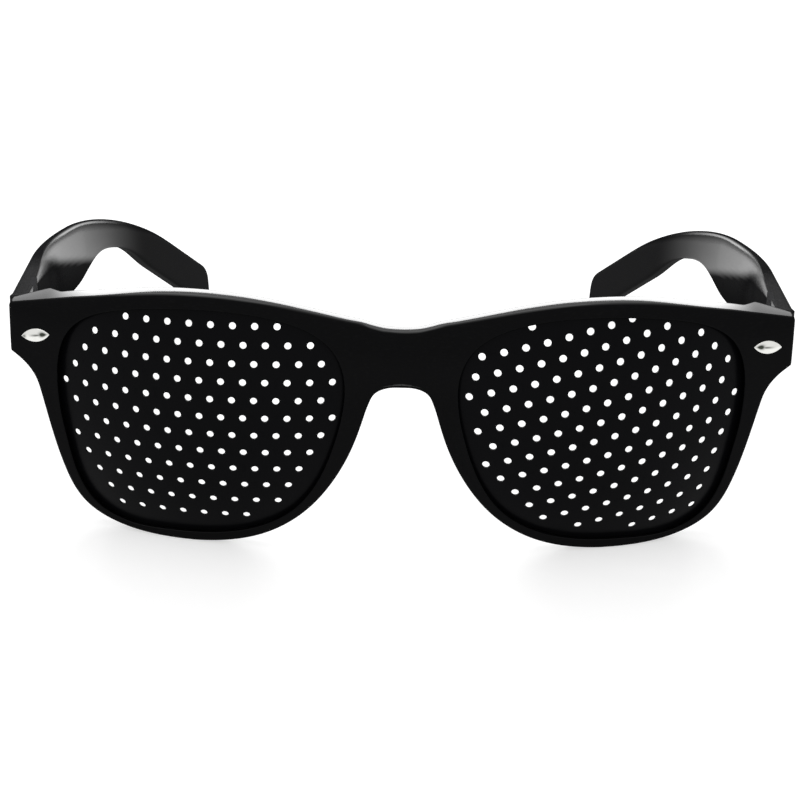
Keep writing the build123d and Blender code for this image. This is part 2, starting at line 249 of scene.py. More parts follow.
def tinted(colour, factor):
    return tuple(c * factor for c in colour[:3]) + (1.0,)


# Polished black moulding

polish = {
    "colour": (0.0022, 0.0022, 0.0026, 1.0),
    "dustColour": (0.010, 0.010, 0.011, 1.0),
    "dustShare": 0.35,  # of the dust's colour where the face is fully worn
    "roughness": 0.075,
    "roughnessSpread": 0.04,
    "wornRoughness": 0.04,
    "armRoughness": 0.20,
    "armTint": 1.1,
    "refraction": 1.6,
    # noises as cells to the metre, detail and roughness
    "waveNoise": (140.0, 2.0, 0.5),  # slow unevenness of the moulded face
    "waveHeight": 0.00003,
    "grainNoise": (5200.0, 4.0, 0.6),  # fine handling marks
    "grainHeight": 0.0000022,
    "scratchNoise": (900.0, 5.0, 0.7),
    "scratchStretch": (1.0, 0.25, 4.0),
    "wornFrom": 0.52,  # scratch noise where wear starts, and the span until it is full
    "wornSpan": 0.2,
}


def polishedPlastic(name, roughness, tint=1.0):
    # a satin black and a mirror polish, mixed by the piece's painted sheen attribute: painted reflection and
    # painted shade
    shade = Shade(bpy.data.materials.new(name))
    wave = noise(shade, *polish["waveNoise"])
    grain = noise(shade, *polish["grainNoise"])
    scratch = noise(shade, *polish["scratchNoise"], stretch=polish["scratchStretch"])
    worn = (scratch - polish["wornFrom"]).clip(0.0, polish["wornSpan"]) * (1 / polish["wornSpan"])
    black = tinted(polish["colour"], tint)
    colour = shade.mixColours(worn * polish["dustShare"], black, polish["dustColour"])
    rough = roughness + (wave - 0.5) * polish["roughnessSpread"] + worn * polish["wornRoughness"]
    bumpWave = shade.node("Bump", Height=wave, Strength=1.0, Distance=polish["waveHeight"])
    bump = shade.node("Bump", Height=grain, Strength=1.0, Distance=polish["grainHeight"], Normal=bumpWave)
    ends = []
    for level in (0.0, 1.0):
        bsdf = shade.node("BsdfPrincipled", Base_Color=colour, Roughness=rough, Normal=bump)
        bsdf.out.node.inputs["Specular IOR Level"].default_value = level
        bsdf.out.node.inputs["IOR"].default_value = polish["refraction"]
        ends.append(bsdf)
    paintedSheenShare = shade.node("Attribute", {"attribute_name": "paintedSheen"}, output=2)
    return shade.surface(shade.mixShaders(paintedSheenShare, *ends))


def setValues(piece, name, values):
    # one number for each vertex, which its material reads
    layer = piece.data.attributes.new(name, "FLOAT", "POINT")
    layer.data.foreach_set("value", np.asarray(values, dtype=np.float32))


def pointsAndNormals(piece):
    # vertices as x, depth, height and their normals in the same directions
    count = len(piece.data.vertices)
    at, way = np.empty(count * 3), np.empty(count * 3)
    piece.data.vertices.foreach_get("co", at)
    piece.data.vertices.foreach_get("normal", way)
    turn = np.array([across, back, up]).T
    return (at.reshape(-1, 3) - foot) @ turn, way.reshape(-1, 3) @ turn


def ease(v, low, high):
    # smooth rise from 0 at low to 1 at high
    t = np.clip((v - low) / (high - low), 0, 1)
    return t * t * (3 - 2 * t)


# Thin black sheet

sheetFinish = {
    "colour": (0.0024, 0.0024, 0.0030, 1.0),
    "roughness": 0.30,
    "roughnessSpread": 0.10,
    "specular": 0.042,
    "grainNoise": (3800.0, 4.0, 0.6),
    "grainHeight": 0.000004,
    "cloudNoise": (160.0, 2.0, 0.5),
    "paleTint": 1.7,  # colour of the grain's paler specks
    "paleFrom": 0.4,
    "paleSpan": 0.4,
    "paleShare": 1.2,
}


def sheetPlastic():
    values = sheetFinish
    shade = Shade(bpy.data.materials.new("sheetPlastic"))
    grain = noise(shade, *values["grainNoise"])
    cloud = noise(shade, *values["cloudNoise"])
    rough = values["roughness"] + (cloud - 0.5) * values["roughnessSpread"]
    pale = (grain - values["paleFrom"]).clip(0.0, values["paleSpan"]) * values["paleShare"]
    colour = shade.mixColours(pale, values["colour"], tinted(values["colour"], values["paleTint"]))
    bump = shade.node("Bump", Height=grain, Strength=1.0, Distance=values["grainHeight"])
    bsdf = shade.node("BsdfPrincipled", Base_Color=colour, Roughness=rough, Normal=bump)
    bsdf.out.node.inputs["Specular IOR Level"].default_value = values["specular"]
    return shade.surface(bsdf)


# Metals

metals = {
    "rivet": {"colour": (0.76, 0.76, 0.73, 1.0), "roughness": 0.16, "brush": 0.05, "scale": 2400.0},
    "hinge": {"colour": (0.014, 0.014, 0.015, 1.0), "roughness": 0.62, "brush": 0.16, "scale": 3200.0},
    "screw": {"colour": (0.020, 0.020, 0.021, 1.0), "roughness": 0.55, "brush": 0.12, "scale": 4200.0},
}
metalWear = {
    "brushDetail": (3.0, 0.5),
    "brushStretch": (0.15, 1.0, 1.0),
    "brushHeight": 0.000002,
    "cloudNoise": (700.0, 3.0, 0.5),
    "dullFrom": 0.45,  # cloud noise where the dull patches start
    "dullSpan": 0.3,
    "dullShare": 2.0,
    "dullTint": 0.72,
    "edgeTint": (0.55, 0.55, 0.55, 1.0),
}


def metalFinish(name):
    # brushed metal with duller patches
    values = metals[name]
    shade = Shade(bpy.data.materials.new(name + "Metal"))
    brush = noise(shade, values["scale"], *metalWear["brushDetail"], stretch=metalWear["brushStretch"])
    cloud = noise(shade, *metalWear["cloudNoise"])
    dull = (cloud - metalWear["dullFrom"]).clip(0.0, metalWear["dullSpan"]) * metalWear["dullShare"]
    colour = shade.mixColours(dull, values["colour"], tinted(values["colour"], metalWear["dullTint"]))
    rough = values["roughness"] + (brush - 0.5) * values["brush"]
    bump = shade.node("Bump", Height=brush, Strength=1.0, Distance=metalWear["brushHeight"])
    bsdf = shade.node("BsdfPrincipled", Base_Color=colour, Roughness=rough, Normal=bump)
    bsdf.out.node.inputs["Metallic"].default_value = 1.0
    bsdf.out.node.inputs["Specular Tint"].default_value = metalWear["edgeTint"]
    return shade.surface(bsdf)


# painted reflection and painted shade: how much of the mirror polish each vertex gets, by which way its face
# looks and where it is
paintedSheen = {
    "face": 0.035,  # share of the mirror polish on the front's face, kept low as painted shade
    "upward": 0.51,  # painted highlight on faces that look up
    "rear": 0.30,  # painted reflection on the front's back and the outer sides of the temples
    "endTop": 0.16,  # share of the upward painted highlight left on the end pieces
    "armTop": 0.05,  # low painted reflection on the temples' upper and lower faces
    "armCrown": 0.35,  # share of the painted reflection left where the bend rounds over to the top
    "armInside": 1.0,  # painted reflection on the inner face of the temples where they bend
    "armBand": (0.007, 0.037),  # painted shade band on its lower part near the hinge, from low to high
    "armEar": 0.06,  # low painted reflection on the rest of the inner face
    "armEdge": 0.61,  # painted highlight: thin line along the upper edge near the hinge
}
# spans of the painted reflection and shade, from no effect to the full one: how far a face looks one way, or
# places on the piece
paintedSheenSpans = {
    "upward": (0.78, 0.97),
    "endPiece": (56 * mm, 66 * mm),
    "rear": (0.45, 0.85),
    "armInside": (0.3, 0.6),
    "bendStart": (30 * mm, 50 * mm),
    "bendEnd": (71 * mm, 100 * mm),
    "band": (-9 * mm, -1 * mm),  # heights against the painted shade band's line, as in the next one
    "aboveBand": (-1.2 * mm, 1.0 * mm),
    "bandEnd": (84 * mm, 92 * mm),
    "edgeUp": (0.12, 0.35),
    "edgeOver": (0.7, 0.9),
    "edgeEnd": (56 * mm, 70 * mm),
    "crownUp": (0.35, 0.65),
    "crownStart": (38 * mm, 52 * mm),
    "armOutside": (0.6, 0.9),
}
# sloping line above which the temples' painted shade band ends
shadeBandLine = {"height": 57.2 * mm, "fall": 0.42}
frontPlastic = polishedPlastic("frontPlastic", polish["roughness"])
templePlastic = polishedPlastic("templePlastic", polish["armRoughness"], polish["armTint"])
blackSheet = sheetPlastic()
for nodeName, node in nodes.items():
    for kind in metals:
        if nodeName.endswith(kind):
            node.data.materials.clear()
            node.data.materials.append(metalFinish(kind))
print("materials ready")

# Front: rims, bridge and end pieces as one shell

front = {
    "halfWidth": 72.8 * mm,
    "height": 51.0 * mm,
    "ballX": 26.216 * mm,  # middle of the balls that the sheets and rims belong to
    "ballDepth": 65.011 * mm,
    "ballHeight": 25.614 * mm,
    "sheetRadius": 66.0 * mm,  # to the middle of the sheet's thickness
    "rimProud": 1.2 * mm,
    "flatX": 3.4 * mm,
    "creaseX": 7.4 * mm,
    "bridgeStep": 0.9 * mm,
    "arcEndX": 60.0 * mm,
    "endSlope": 0.5,
    "creaseSoft": 0.5 * mm,
    "thickAt": ((7.4 * mm, 3.0 * mm), (33.7 * mm, 3.5 * mm), (60.0 * mm, 3.9 * mm)),
    "jointDepth": 19.0 * mm,
    "blockX": 65.4 * mm,
    "blockLow": 32.6 * mm,
    "blockHeight": 38.35 * mm,
    "blockSoft": 0.12 * mm,  # height over which the block's underside sets in
    "blockLap": 0.4 * mm,
    "edge": 0.75 * mm,  # rounding of the outer edges
    "rimEdge": 0.32 * mm,  # rounding of the edges round the sheets
    "topEndWay": (1, -0.3),  # the top edge's way where it meets the end piece
    "stations": 470,
    "middleStations": 26,
    "faceSteps": 22,
    "edgeSteps": 6,
}
frontSize = np.array([front["halfWidth"], front["height"]])
faceRadius = front["sheetRadius"] + front["rimProud"]
curvePoints = {"top": 400, "rim": 900, "arch": 120, "aperture": 2400, "window": 600, "belly": 400}
topShares = [(0, 0.881), (0.075, 0.891), (0.162, 0.923), (0.270, 0.963), (0.385, 0.991),
             (0.495, 0.999), (0.618, 0.986), (0.748, 0.946), (0.877, 0.894), (0.996, 0.845)]
sideShares = [(1.0, 0.833), (0.996, 0.671)]
rimShares = [(0.961, 0.641), (0.932, 0.595), (0.917, 0.536), (0.891, 0.385), (0.859, 0.218),
             (0.812, 0.087), (0.734, 0.024), (0.622, 0), (0.487, 0.006), (0.350, 0.055),
             (0.246, 0.155), (0.175, 0.281), (0.110, 0.475), (0.090, 0.571)]
archShares = [(0.080, 0.614), (0.069, 0.647), (0.040, 0.674), (0, 0.679)]
# outline places and the angles round the aperture, in degrees, that they are joined to
ringAngles = [((0, 0.881), 146), ((0.162, 0.923), 134), ((0.385, 0.991), 108), ((0.618, 0.986), 72),
              ((0.877, 0.894), 38), ((1.0, 0.833), 27), ((0.996, 0.671), 15.5), ((0.932, 0.595), 10),
              ((0.891, 0.385), -11), ((0.812, 0.087), -43), ((0.622, 0), -71), ((0.350, 0.055), -117),
              ((0.175, 0.281), -156), ((0.110, 0.475), -178), ((0.090, 0.571), -187),
              ((0.069, 0.647), -193), ((0, 0.679), -199)]
aperture = {
    "x": 36.866 * mm,
    "height": 25.306 * mm,
    "halfWidth": 26.426 * mm,
    "halfHeight": 23.093 * mm,
}
apertureMiddle = np.array([aperture["x"], aperture["height"]])
apertureShares = [(1.0, 0.151), (0.999, 0.382), (0.931, 0.638), (0.778, 0.805), (0.566, 0.905),
                  (0.247, 0.976), (-0.090, 1.0), (-0.442, 0.966), (-0.715, 0.872),
                  (-0.907, 0.708), (-0.988, 0.519), (-1.0, 0.272), (-0.943, -0.052),
                  (-0.820, -0.431), (-0.643, -0.710), (-0.399, -0.883), (-0.069, -0.975),
                  (0.251, -1.0), (0.534, -0.992), (0.748, -0.867), (0.875, -0.618),
                  (0.945, -0.277), (0.981, -0.057)]


def ballFront(x, height, radius):
    # depth of a ball's near face
    reach = radius**2 - (x - front["ballX"]) ** 2 - (height - front["ballHeight"]) ** 2
    return front["ballDepth"] - np.sqrt(np.maximum(reach, 0))


def frontDepth(x, height):
    # ball between the creases and the end pieces, flats across the bridge, straight end pieces
    soft = front["creaseSoft"]
    x = np.abs(x)
    onBall = front["creaseX"] + softStep(x - front["creaseX"], soft)
    onBall = front["arcEndX"] - softStep(front["arcEndX"] - onBall, soft)
    depth = ballFront(onBall, height, faceRadius)
    ramp = softStep(front["creaseX"] - x, soft) - softStep(front["flatX"] - x, soft)
    depth = depth - front["bridgeStep"] * ramp / (front["creaseX"] - front["flatX"])
    return depth + front["endSlope"] * softStep(x - front["arcEndX"], soft)


def backDepth(x, height):
    # the band's thickness, then the hinge block with its flat back
    x = np.abs(x)
    at, thick = np.array(front["thickAt"]).T
    depth = frontDepth(x, height) + np.interp(x, at, thick)
    start = frontDepth(front["arcEndX"], front["blockHeight"]) + thick[-1]
    block = np.interp(x, [front["arcEndX"], front["blockX"]], [start, front["jointDepth"]])
    inBlock = 1 / (1 + np.exp(-(height - front["blockLow"]) / front["blockSoft"]))
    filled = depth + inBlock * np.maximum(block - depth, 0)
    depth = np.where(x > front["arcEndX"] - front["blockLap"], filled, depth)
    return np.minimum(depth, front["jointDepth"])


def halfOutline():
    # right half from the top's middle, round the end piece and the rim, to the arch's middle
    top = smoothCurve(np.array(topShares) * frontSize, curvePoints["top"],
                      startWay=(1, 0), endWay=front["topEndWay"])
    side = np.array(sideShares) * frontSize
    rim = smoothCurve(np.array([sideShares[1]] + rimShares) * frontSize, curvePoints["rim"])
    arch = smoothCurve(np.array([rimShares[-1]] + archShares) * frontSize, curvePoints["arch"],
                       startWay=rim[-1] - rim[-2], endWay=(-1, 0))
    return evenly(np.vstack([top, side, rim[1:], arch[1:]]), front["stations"])


def apertureCurve(grow, count):
    # closed outline about the aperture's middle, grown evenly
    size = np.array([aperture["halfWidth"] + grow, aperture["halfHeight"] + grow])
    return smoothCurve(apertureMiddle + np.array(apertureShares) * size, count + 1, closed=True)[:-1]


def frontShell():
    # station by station round the rim, each a closed profile: face, outer edge, back, inner edge
    outline = halfOutline()
    marks = [np.linalg.norm(outline - share * frontSize, axis=1).argmin() for share, _ in ringAngles]
    angles = np.interp(np.arange(len(outline)), marks, [angle for _, angle in ringAngles])
    gap = np.linspace(0, 1, front["middleStations"] + 2)[1:-1]
    low, high = outline[-1], outline[0]
    edge = front["edge"]
    middle = np.stack([0 * gap, low[1] + edge + (high[1] - low[1] - 2 * edge) * gap], 1)
    lastAngle, fullTurn = ringAngles[-1][1], ringAngles[0][1] - 360
    angles = np.concatenate([angles, lastAngle + gap * (fullTurn - lastAngle)])
    outwards = inward(outline)
    outwards[0] = (0, -1)
    outwards[-1] = (0, 1)
    atEdge = np.concatenate([outline, middle])
    edgeIn = np.concatenate([outwards * edge, 0 * middle])
    edgeDeep = np.concatenate([np.full(len(outline), edge), 0 * gap])

    ring = apertureCurve(0, curvePoints["aperture"])
    ringOut = inward(ring, closed=True)  # turned outwards further down
    about = np.unwrap(np.arctan2(*(ring - apertureMiddle).T[::-1]))
    wanted = (np.radians(angles) - about.min()) % (2 * np.pi) + about.min()
    order = np.argsort(about)
    span = np.concatenate([about[order], about[order][:1] + 2 * np.pi])
    pick = np.concatenate([order, order[:1]])
    inner = np.stack([np.interp(wanted, span, ring[pick, k]) for k in (0, 1)], 1)
    innerOut = np.stack([np.interp(wanted, span, ringOut[pick, k]) for k in (0, 1)], 1)
    innerOut *= np.sign(np.sum(innerOut * (inner - apertureMiddle), 1))[:, None]
    rimEdge = front["rimEdge"]
    faceIn, faceOut = inner + innerOut * rimEdge, atEdge + edgeIn

    faceSteps = 0.5 - 0.5 * np.cos(np.linspace(0, np.pi, front["faceSteps"]))
    turn = np.linspace(0, np.pi / 2, front["edgeSteps"])
    # places and drops: the face outwards, the outer edge, the back inwards, the inner edge
    face = [(faceIn + (faceOut - faceIn) * t, 0.0) for t in faceSteps]
    outerEdge = [(atEdge + edgeIn * (1 - sin(a)), edgeDeep * (1 - cos(a))) for a in turn]
    innerEdge = [(inner + innerOut * rimEdge * (1 - sin(a)), rimEdge * (1 - cos(a))) for a in turn]
    start = face + outerEdge[1:]
    behind = [(at, -drop) for at, drop in outerEdge[::-1] + face[::-1][1:] + innerEdge[1:]]
    end = innerEdge[::-1][:-1]
    isBack = [False] * len(start) + [True] * len(behind) + [False] * len(end)
    plan = np.stack([at for at, _ in start + behind + end], 1)
    deep = np.stack([np.broadcast_to(drop, len(inner)) for _, drop in start + behind + end], 1)
    x, height = plan[..., 0], plan[..., 1]
    depth = np.where(np.array(isBack), backDepth(x, height), frontDepth(x, height)) + deep
    rows, columns = x.shape
    faces = gridFaces(rows, columns, closedRows=True, closedColumns=True)
    onMiddle = (np.abs(x) < 1e-9).reshape(-1)
    faces = faces[~onMiddle[faces].all(1)]
    right = place(x, depth, height).reshape(-1, 3)
    left = right * np.array([-1, 1, 1])
    verts = np.vstack([right, left])
    verts[:, 2] = np.maximum(verts[:, 2], 0)
    faces = np.vstack([faces, faces[:, ::-1] + len(right)])
    return verts, faces.tolist()


def weld(piece, gap=0.002 * mm):
    # merges doubles and turns all faces outwards
    work = bmesh.new()
    work.from_mesh(piece.data)
    bmesh.ops.remove_doubles(work, verts=work.verts, dist=gap)
    bmesh.ops.dissolve_degenerate(work, edges=work.edges, dist=gap)
    bmesh.ops.recalc_face_normals(work, faces=work.faces)
    work.to_mesh(piece.data)
    work.free()
    piece.data.shade_smooth()


def frontPaintedSheen(piece):
    # painted reflection: low on the face as painted shade, a painted highlight on upward faces except the end
    # pieces', and more on the back
    at, way = pointsAndNormals(piece)
    upwards = (paintedSheen["upward"] - paintedSheen["face"]) * ease(way[:, 2], *paintedSheenSpans["upward"])
    onEnd = 1 - (1 - paintedSheen["endTop"]) * ease(np.abs(at[:, 0]), *paintedSheenSpans["endPiece"])
    behind = (paintedSheen["rear"] - paintedSheen["face"]) * ease(way[:, 1], *paintedSheenSpans["rear"])
    return paintedSheen["face"] + upwards * onEnd + behind


shellVerts, shellFaces = frontShell()
frontPiece = meshPiece("frontShell", shellVerts, shellFaces, "front", frontPlastic)
weld(frontPiece)
# painted reflection and painted shade on the front, by which way its faces look
setValues(frontPiece, "paintedSheen", frontPaintedSheen(frontPiece))
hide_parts("front_frame")
print("front shell:", len(frontPiece.data.polygons), "faces")

# Nose pads

pad = {
    "x": 11.7 * mm,
    "height": 19.6 * mm,
    "turn": radians(26.0),
    "halfLong": 6.0 * mm,
    "halfWide": 1.2 * mm,
    "reach": 2.2 * mm,
    "shift": 1.0 * mm,
    "endShare": 0.72,  # how much of its size is left at its end
    "inRim": 1.75 * mm,
    "domeStart": 0.72,  # share of its length where the dome begins
    "flare": 0.35,  # how much wider it is at its root
    "flareFade": 0.12,
    "flareLong": 0.1,  # share of the flare in its long direction
    "sides": 64,
    "steps": 14,
    "domeSteps": 12,
}


def nosePad(sign):
    # an ellipse carried backwards, shrinking steadily and domed at its end
    around = np.linspace(0, 2 * np.pi, pad["sides"], endpoint=False)[None, :]
    start, domeLong = pad["domeStart"], 1 - pad["domeStart"]
    domeTurn = np.linspace(0, np.pi / 2, pad["domeSteps"])[1:]
    along = np.concatenate([np.linspace(0, start, pad["steps"]), start + domeLong * np.sin(domeTurn)])
    along = along[:, None]
    share = 1 - (1 - pad["endShare"]) * along
    dome = np.sqrt(np.clip(1 - (np.maximum(along - start, 0) / domeLong) ** 2, 0, 1))
    flare = 1 + pad["flare"] * np.exp(-along / pad["flareFade"])
    u = pad["halfWide"] * share * dome * flare * np.cos(around)
    v = pad["halfLong"] * share * dome * (1 + pad["flareLong"] * (flare - 1)) * np.sin(around)
    turn = pad["turn"]
    x = pad["x"] + pad["shift"] * (1 - share) + u * cos(turn) - v * sin(turn)
    height = pad["height"] + u * sin(turn) + v * cos(turn)
    root = ballFront(pad["x"], pad["height"], faceRadius) + pad["inRim"]
    depth = root + (pad["inRim"] + pad["reach"]) * along + 0 * around
    return place(sign * x, depth, height), gridFaces(len(along), pad["sides"], closedColumns=True).tolist()


for sideName, sign in sides:
    verts, faces = nosePad(sign)
    padPiece = meshPiece(sideName + "NosePad", verts, faces, "front", frontPlastic)
    weld(padPiece)
    # the front face's low painted reflection on the nose pads
    setValues(padPiece, "paintedSheen", np.full(len(padPiece.data.vertices), paintedSheen["face"]))
print("nose pads ready")

# Sheets with pinholes

sheet = {
    "thick": 0.4 * mm,
    "lip": 0.7 * mm,
    "middleX": 33.0 * mm,
    "middleHeight": 34.75 * mm,
    "tilt": radians(8.0),
    "wrap": radians(5.9),
    "pitch": 4.0 * mm,
    "holeRadii": {"left": 0.64 * mm, "right": 0.69 * mm},
    "holeEdge": 0.05 * mm,
    "turns": {"left": radians(-0.1), "right": radians(14.9)},
    "starts": {"left": (-1.77 * mm, -2.63 * mm), "right": (0.69 * mm, -3.07 * mm)},
    "holeSides": 30,
    "gridCount": 30,  # of pinholes tried each way from the middle
    "gridReach": 40.0 * mm,
    "windowIn": 1.3 * mm,  # middles of the pinholes stay this far inside the aperture
    "windowUp": 0.9 * mm,
    "rimSides": 420,
    "cutFine": 1e-5,  # in millimetres, for cutting the sheet into triangles
    "nearShare": 1.05,  # of a pinhole's radius, where its own triangles are looked for
}


def pinholePlaces(sideName, sign):
    # x, depth and height of a hexagonal grid laid flat on the sheet's middle and pushed back on to the ball
    tilt, wrap = sheet["tilt"], sheet["wrap"]
    span = np.arange(-sheet["gridCount"], sheet["gridCount"] + 1)
    i, j = np.meshgrid(span, span)
    a = sheet["pitch"] * (i + j / 2).reshape(-1)
    b = sheet["pitch"] * (j * sqrt(3) / 2).reshape(-1)
    turn = sheet["turns"][sideName]
    startU, startV = sheet["starts"][sideName]
    u = startU + a * cos(turn) - b * sin(turn)
    v = startV + a * sin(turn) + b * cos(turn)
    near = np.hypot(u, v) < sheet["gridReach"]
    u, v = u[near], v[near]
    out = np.sqrt(front["sheetRadius"] ** 2 - u * u - v * v) - front["sheetRadius"]
    level = np.array([0.0, cos(tilt), -sin(tilt)])
    uWay = np.array([cos(wrap), 0, 0]) + level * sign * sin(wrap)
    facing = np.array([sign * sin(wrap), 0, 0]) - level * cos(wrap)
    vWay = np.array([0.0, sin(tilt), cos(tilt)])
    middle = np.array([sign * sheet["middleX"], 0, sheet["middleHeight"]])
    return middle + u[:, None] * uWay + v[:, None] * vWay + out[:, None] * facing


def insidePolygon(points, polygon):
    # even-odd crossing count for every point
    x, y = points[:, 0][:, None], points[:, 1][:, None]
    x0, y0 = polygon.T
    x1, y1 = np.roll(polygon, -1, 0).T
    crosses = (y0 > y) != (y1 > y)
    at = x0 + (y - y0) * (x1 - x0) / np.where(y1 == y0, 1e-12, y1 - y0)
    return (crosses & (x < at)).sum(1) % 2 == 1


def lensSheet(sideName, sign):
    # face and back on two balls of one centre, joined through every pinhole and round the edge;
    # which way the faces turn is settled afterwards
    border = apertureCurve(sheet["lip"], sheet["rimSides"]) * np.array([sign, 1])
    window = apertureCurve(-sheet["windowIn"], curvePoints["window"]) * np.array([sign, 1])
    window = window + np.array([0, sheet["windowUp"]])
    holes = pinholePlaces(sideName, sign)
    holes = holes[insidePolygon(holes[:, [0, 2]], window)]
    centre = np.array([sign * front["ballX"], front["ballDepth"], front["ballHeight"]])
    axis = unit(holes - centre)
    side = unit(np.cross(axis, np.array([0.0, 0.0, 1.0])))
    rise = np.cross(side, axis)
    turn = np.linspace(0, 2 * np.pi, sheet["holeSides"], endpoint=False)
    circle = (np.cos(turn)[None, :, None] * side[:, None] + np.sin(turn)[None, :, None] * rise[:, None])

    def ringAt(radius, ball):
        reach = np.sqrt(ball**2 - radius**2)
        return centre + axis[:, None] * reach + circle * radius

    outer = front["sheetRadius"] + sheet["thick"] / 2
    inner = front["sheetRadius"] - sheet["thick"] / 2
    narrow = sheet["holeRadii"][sideName]
    wide = narrow + sheet["holeEdge"]
    steps = [ringAt(wide, outer), ringAt(narrow, outer - sheet["holeEdge"]),
             ringAt(narrow, inner + sheet["holeEdge"]), ringAt(wide, inner)]

    def onBall(plan, radius):
        away = radius**2 - (plan[:, 0] - centre[0]) ** 2 - (plan[:, 1] - centre[2]) ** 2
        return np.stack([plan[:, 0], centre[1] - np.sqrt(away), plan[:, 1]], 1)

    verts, faces, normals = [], [], []
    count = 0
    for ball, rings, way in ((outer, steps[0], 1), (inner, steps[3], -1)):
        plans = rings[..., [0, 2]]
        plan = np.vstack([border, plans.reshape(-1, 2)])
        ends = [0] + [len(border) + k * len(turn) for k in range(len(holes) + 1)]
        loops = [list(range(first, last)) for first, last in zip(ends, ends[1:])]
        cut = delaunay_2d_cdt([tuple(p / mm) for p in plan], [], loops, 1, sheet["cutFine"])
        flat = np.array([tuple(p) for p in cut[0]]) * mm
        tris = np.array(cut[2])
        mid = flat[tris].mean(1)
        free = np.ones(len(mid), bool)
        for ring in plans:
            near = np.hypot(*(mid - ring.mean(0)).T) < wide * sheet["nearShare"]
            free[near] &= ~insidePolygon(mid[near], ring)
        ball3 = onBall(flat, ball)
        verts.append(ball3)
        normals.append((ball3 - centre) / ball * way)
        faces += (tris[free] + count).tolist()
        count += len(ball3)
    for n in range(3):  # through each pinhole, normals leaning out at its first and last step
        a, b = steps[n].reshape(-1, 3), steps[n + 1].reshape(-1, 3)
        k = np.arange(len(a))
        after = (k // len(turn)) * len(turn) + (k + 1) % len(turn)
        quads = np.stack([k, k + len(a), after + len(a), after], 1)
        verts.append(np.vstack([a, b]))
        shown = unit(np.repeat((1 - n) * axis, len(turn), 0) - circle.reshape(-1, 3))
        normals.append(np.vstack([shown, shown]))
        faces += (quads + count).tolist()
        count += 2 * len(a)
    face, rear = onBall(border, outer), onBall(border, inner)
    verts.append(np.vstack([face, rear]))
    out = inward(border, closed=True)
    out *= np.sign(np.sum(out * (border - border.mean(0)), 1))[:, None]
    out = np.stack([out[:, 0], 0 * out[:, 0], out[:, 1]], 1)
    normals.append(np.vstack([out, out]))
    faces += (gridFaces(2, len(border), closedColumns=True) + count).tolist()
    verts, normals = np.vstack(verts), np.vstack(normals)
    normals = normals[:, :1] * across + normals[:, 1:2] * back + normals[:, 2:] * up
    return place(*verts.T), faces, normals, len(holes)


for sideName, sign in sides:
    verts, faces, normals, holeCount = lensSheet(sideName, sign)
    # each face turned to the side that its own normals are meant for
    a, b, c = verts[np.array([face[:3] for face in faces])].transpose(1, 0, 2)
    wanted = np.array([normals[face].mean(0) for face in faces])
    wrong = (np.cross(b - a, c - a) * wanted).sum(1) < 0
    faces = [face[::-1] if bad else face for face, bad in zip(faces, wrong)]
    piece = meshPiece(sideName + "Sheet", verts, faces, "front", blackSheet)
    piece.data.normals_split_custom_set_from_vertices(normals.tolist())
    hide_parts(sideName + "_pinhole_lens")
    print(sideName, "sheet:", holeCount, "pinholes")

# Rivets: domed almonds with a stud behind them

rivet = {
    "x": 67.5 * mm,
    "heights": {"left": 38.42 * mm, "right": 38.8 * mm},
    "halfLong": 3.05 * mm,
    "halfTall": 1.25 * mm,
    "proud": 0.55 * mm,
    "edge": 0.12 * mm,
    "sunk": 0.3 * mm,
    "studRadius": 0.6 * mm,
    "studLong": 2.0 * mm,
    "studLap": 0.01 * mm,
    "studSides": 32,
    "alongSteps": 61,
    "acrossSteps": 31,
    "falls": {"left": 0.28, "right": 0.19},
    # painted dark reflections in the chrome as along, up, half sizes and depth; the last one is only on the
    # left
    "marks": ((0.58, 0.08, 0.22, 0.42, 1.7), (0.15, 0.0, 0.45, 0.15, 0.9), (-0.80, -0.1, 0.17, 0.5, 0.9)),
    # colour of the painted dark reflections
    "paintedReflectionColour": (0.045, 0.050, 0.040, 1.0),
    "paintedReflectionCloud": 0.2,
    "cloudNoise": (900.0, 3.0, 0.5),
    "roughnessSpread": 0.08,
}


def rivetFinish():
    # chrome with painted dark reflections, by the piece's own attribute
    shade = Shade(bpy.data.materials.new("rivetChrome"))
    cloud = noise(shade, *rivet["cloudNoise"])
    paintedReflection = shade.node("Attribute", {"attribute_name": "paintedReflection"}, output=2)
    paintedReflectionShare = (paintedReflection + (cloud - 0.5) * rivet["paintedReflectionCloud"]).clip()
    colour = shade.mixColours(paintedReflectionShare, metals["rivet"]["colour"], rivet["paintedReflectionColour"])
    rough = metals["rivet"]["roughness"] + (cloud - 0.5) * rivet["roughnessSpread"]
    bsdf = shade.node("BsdfPrincipled", Base_Color=colour, Roughness=rough)
    bsdf.out.node.inputs["Metallic"].default_value = 1.0
    return shade.surface(bsdf)


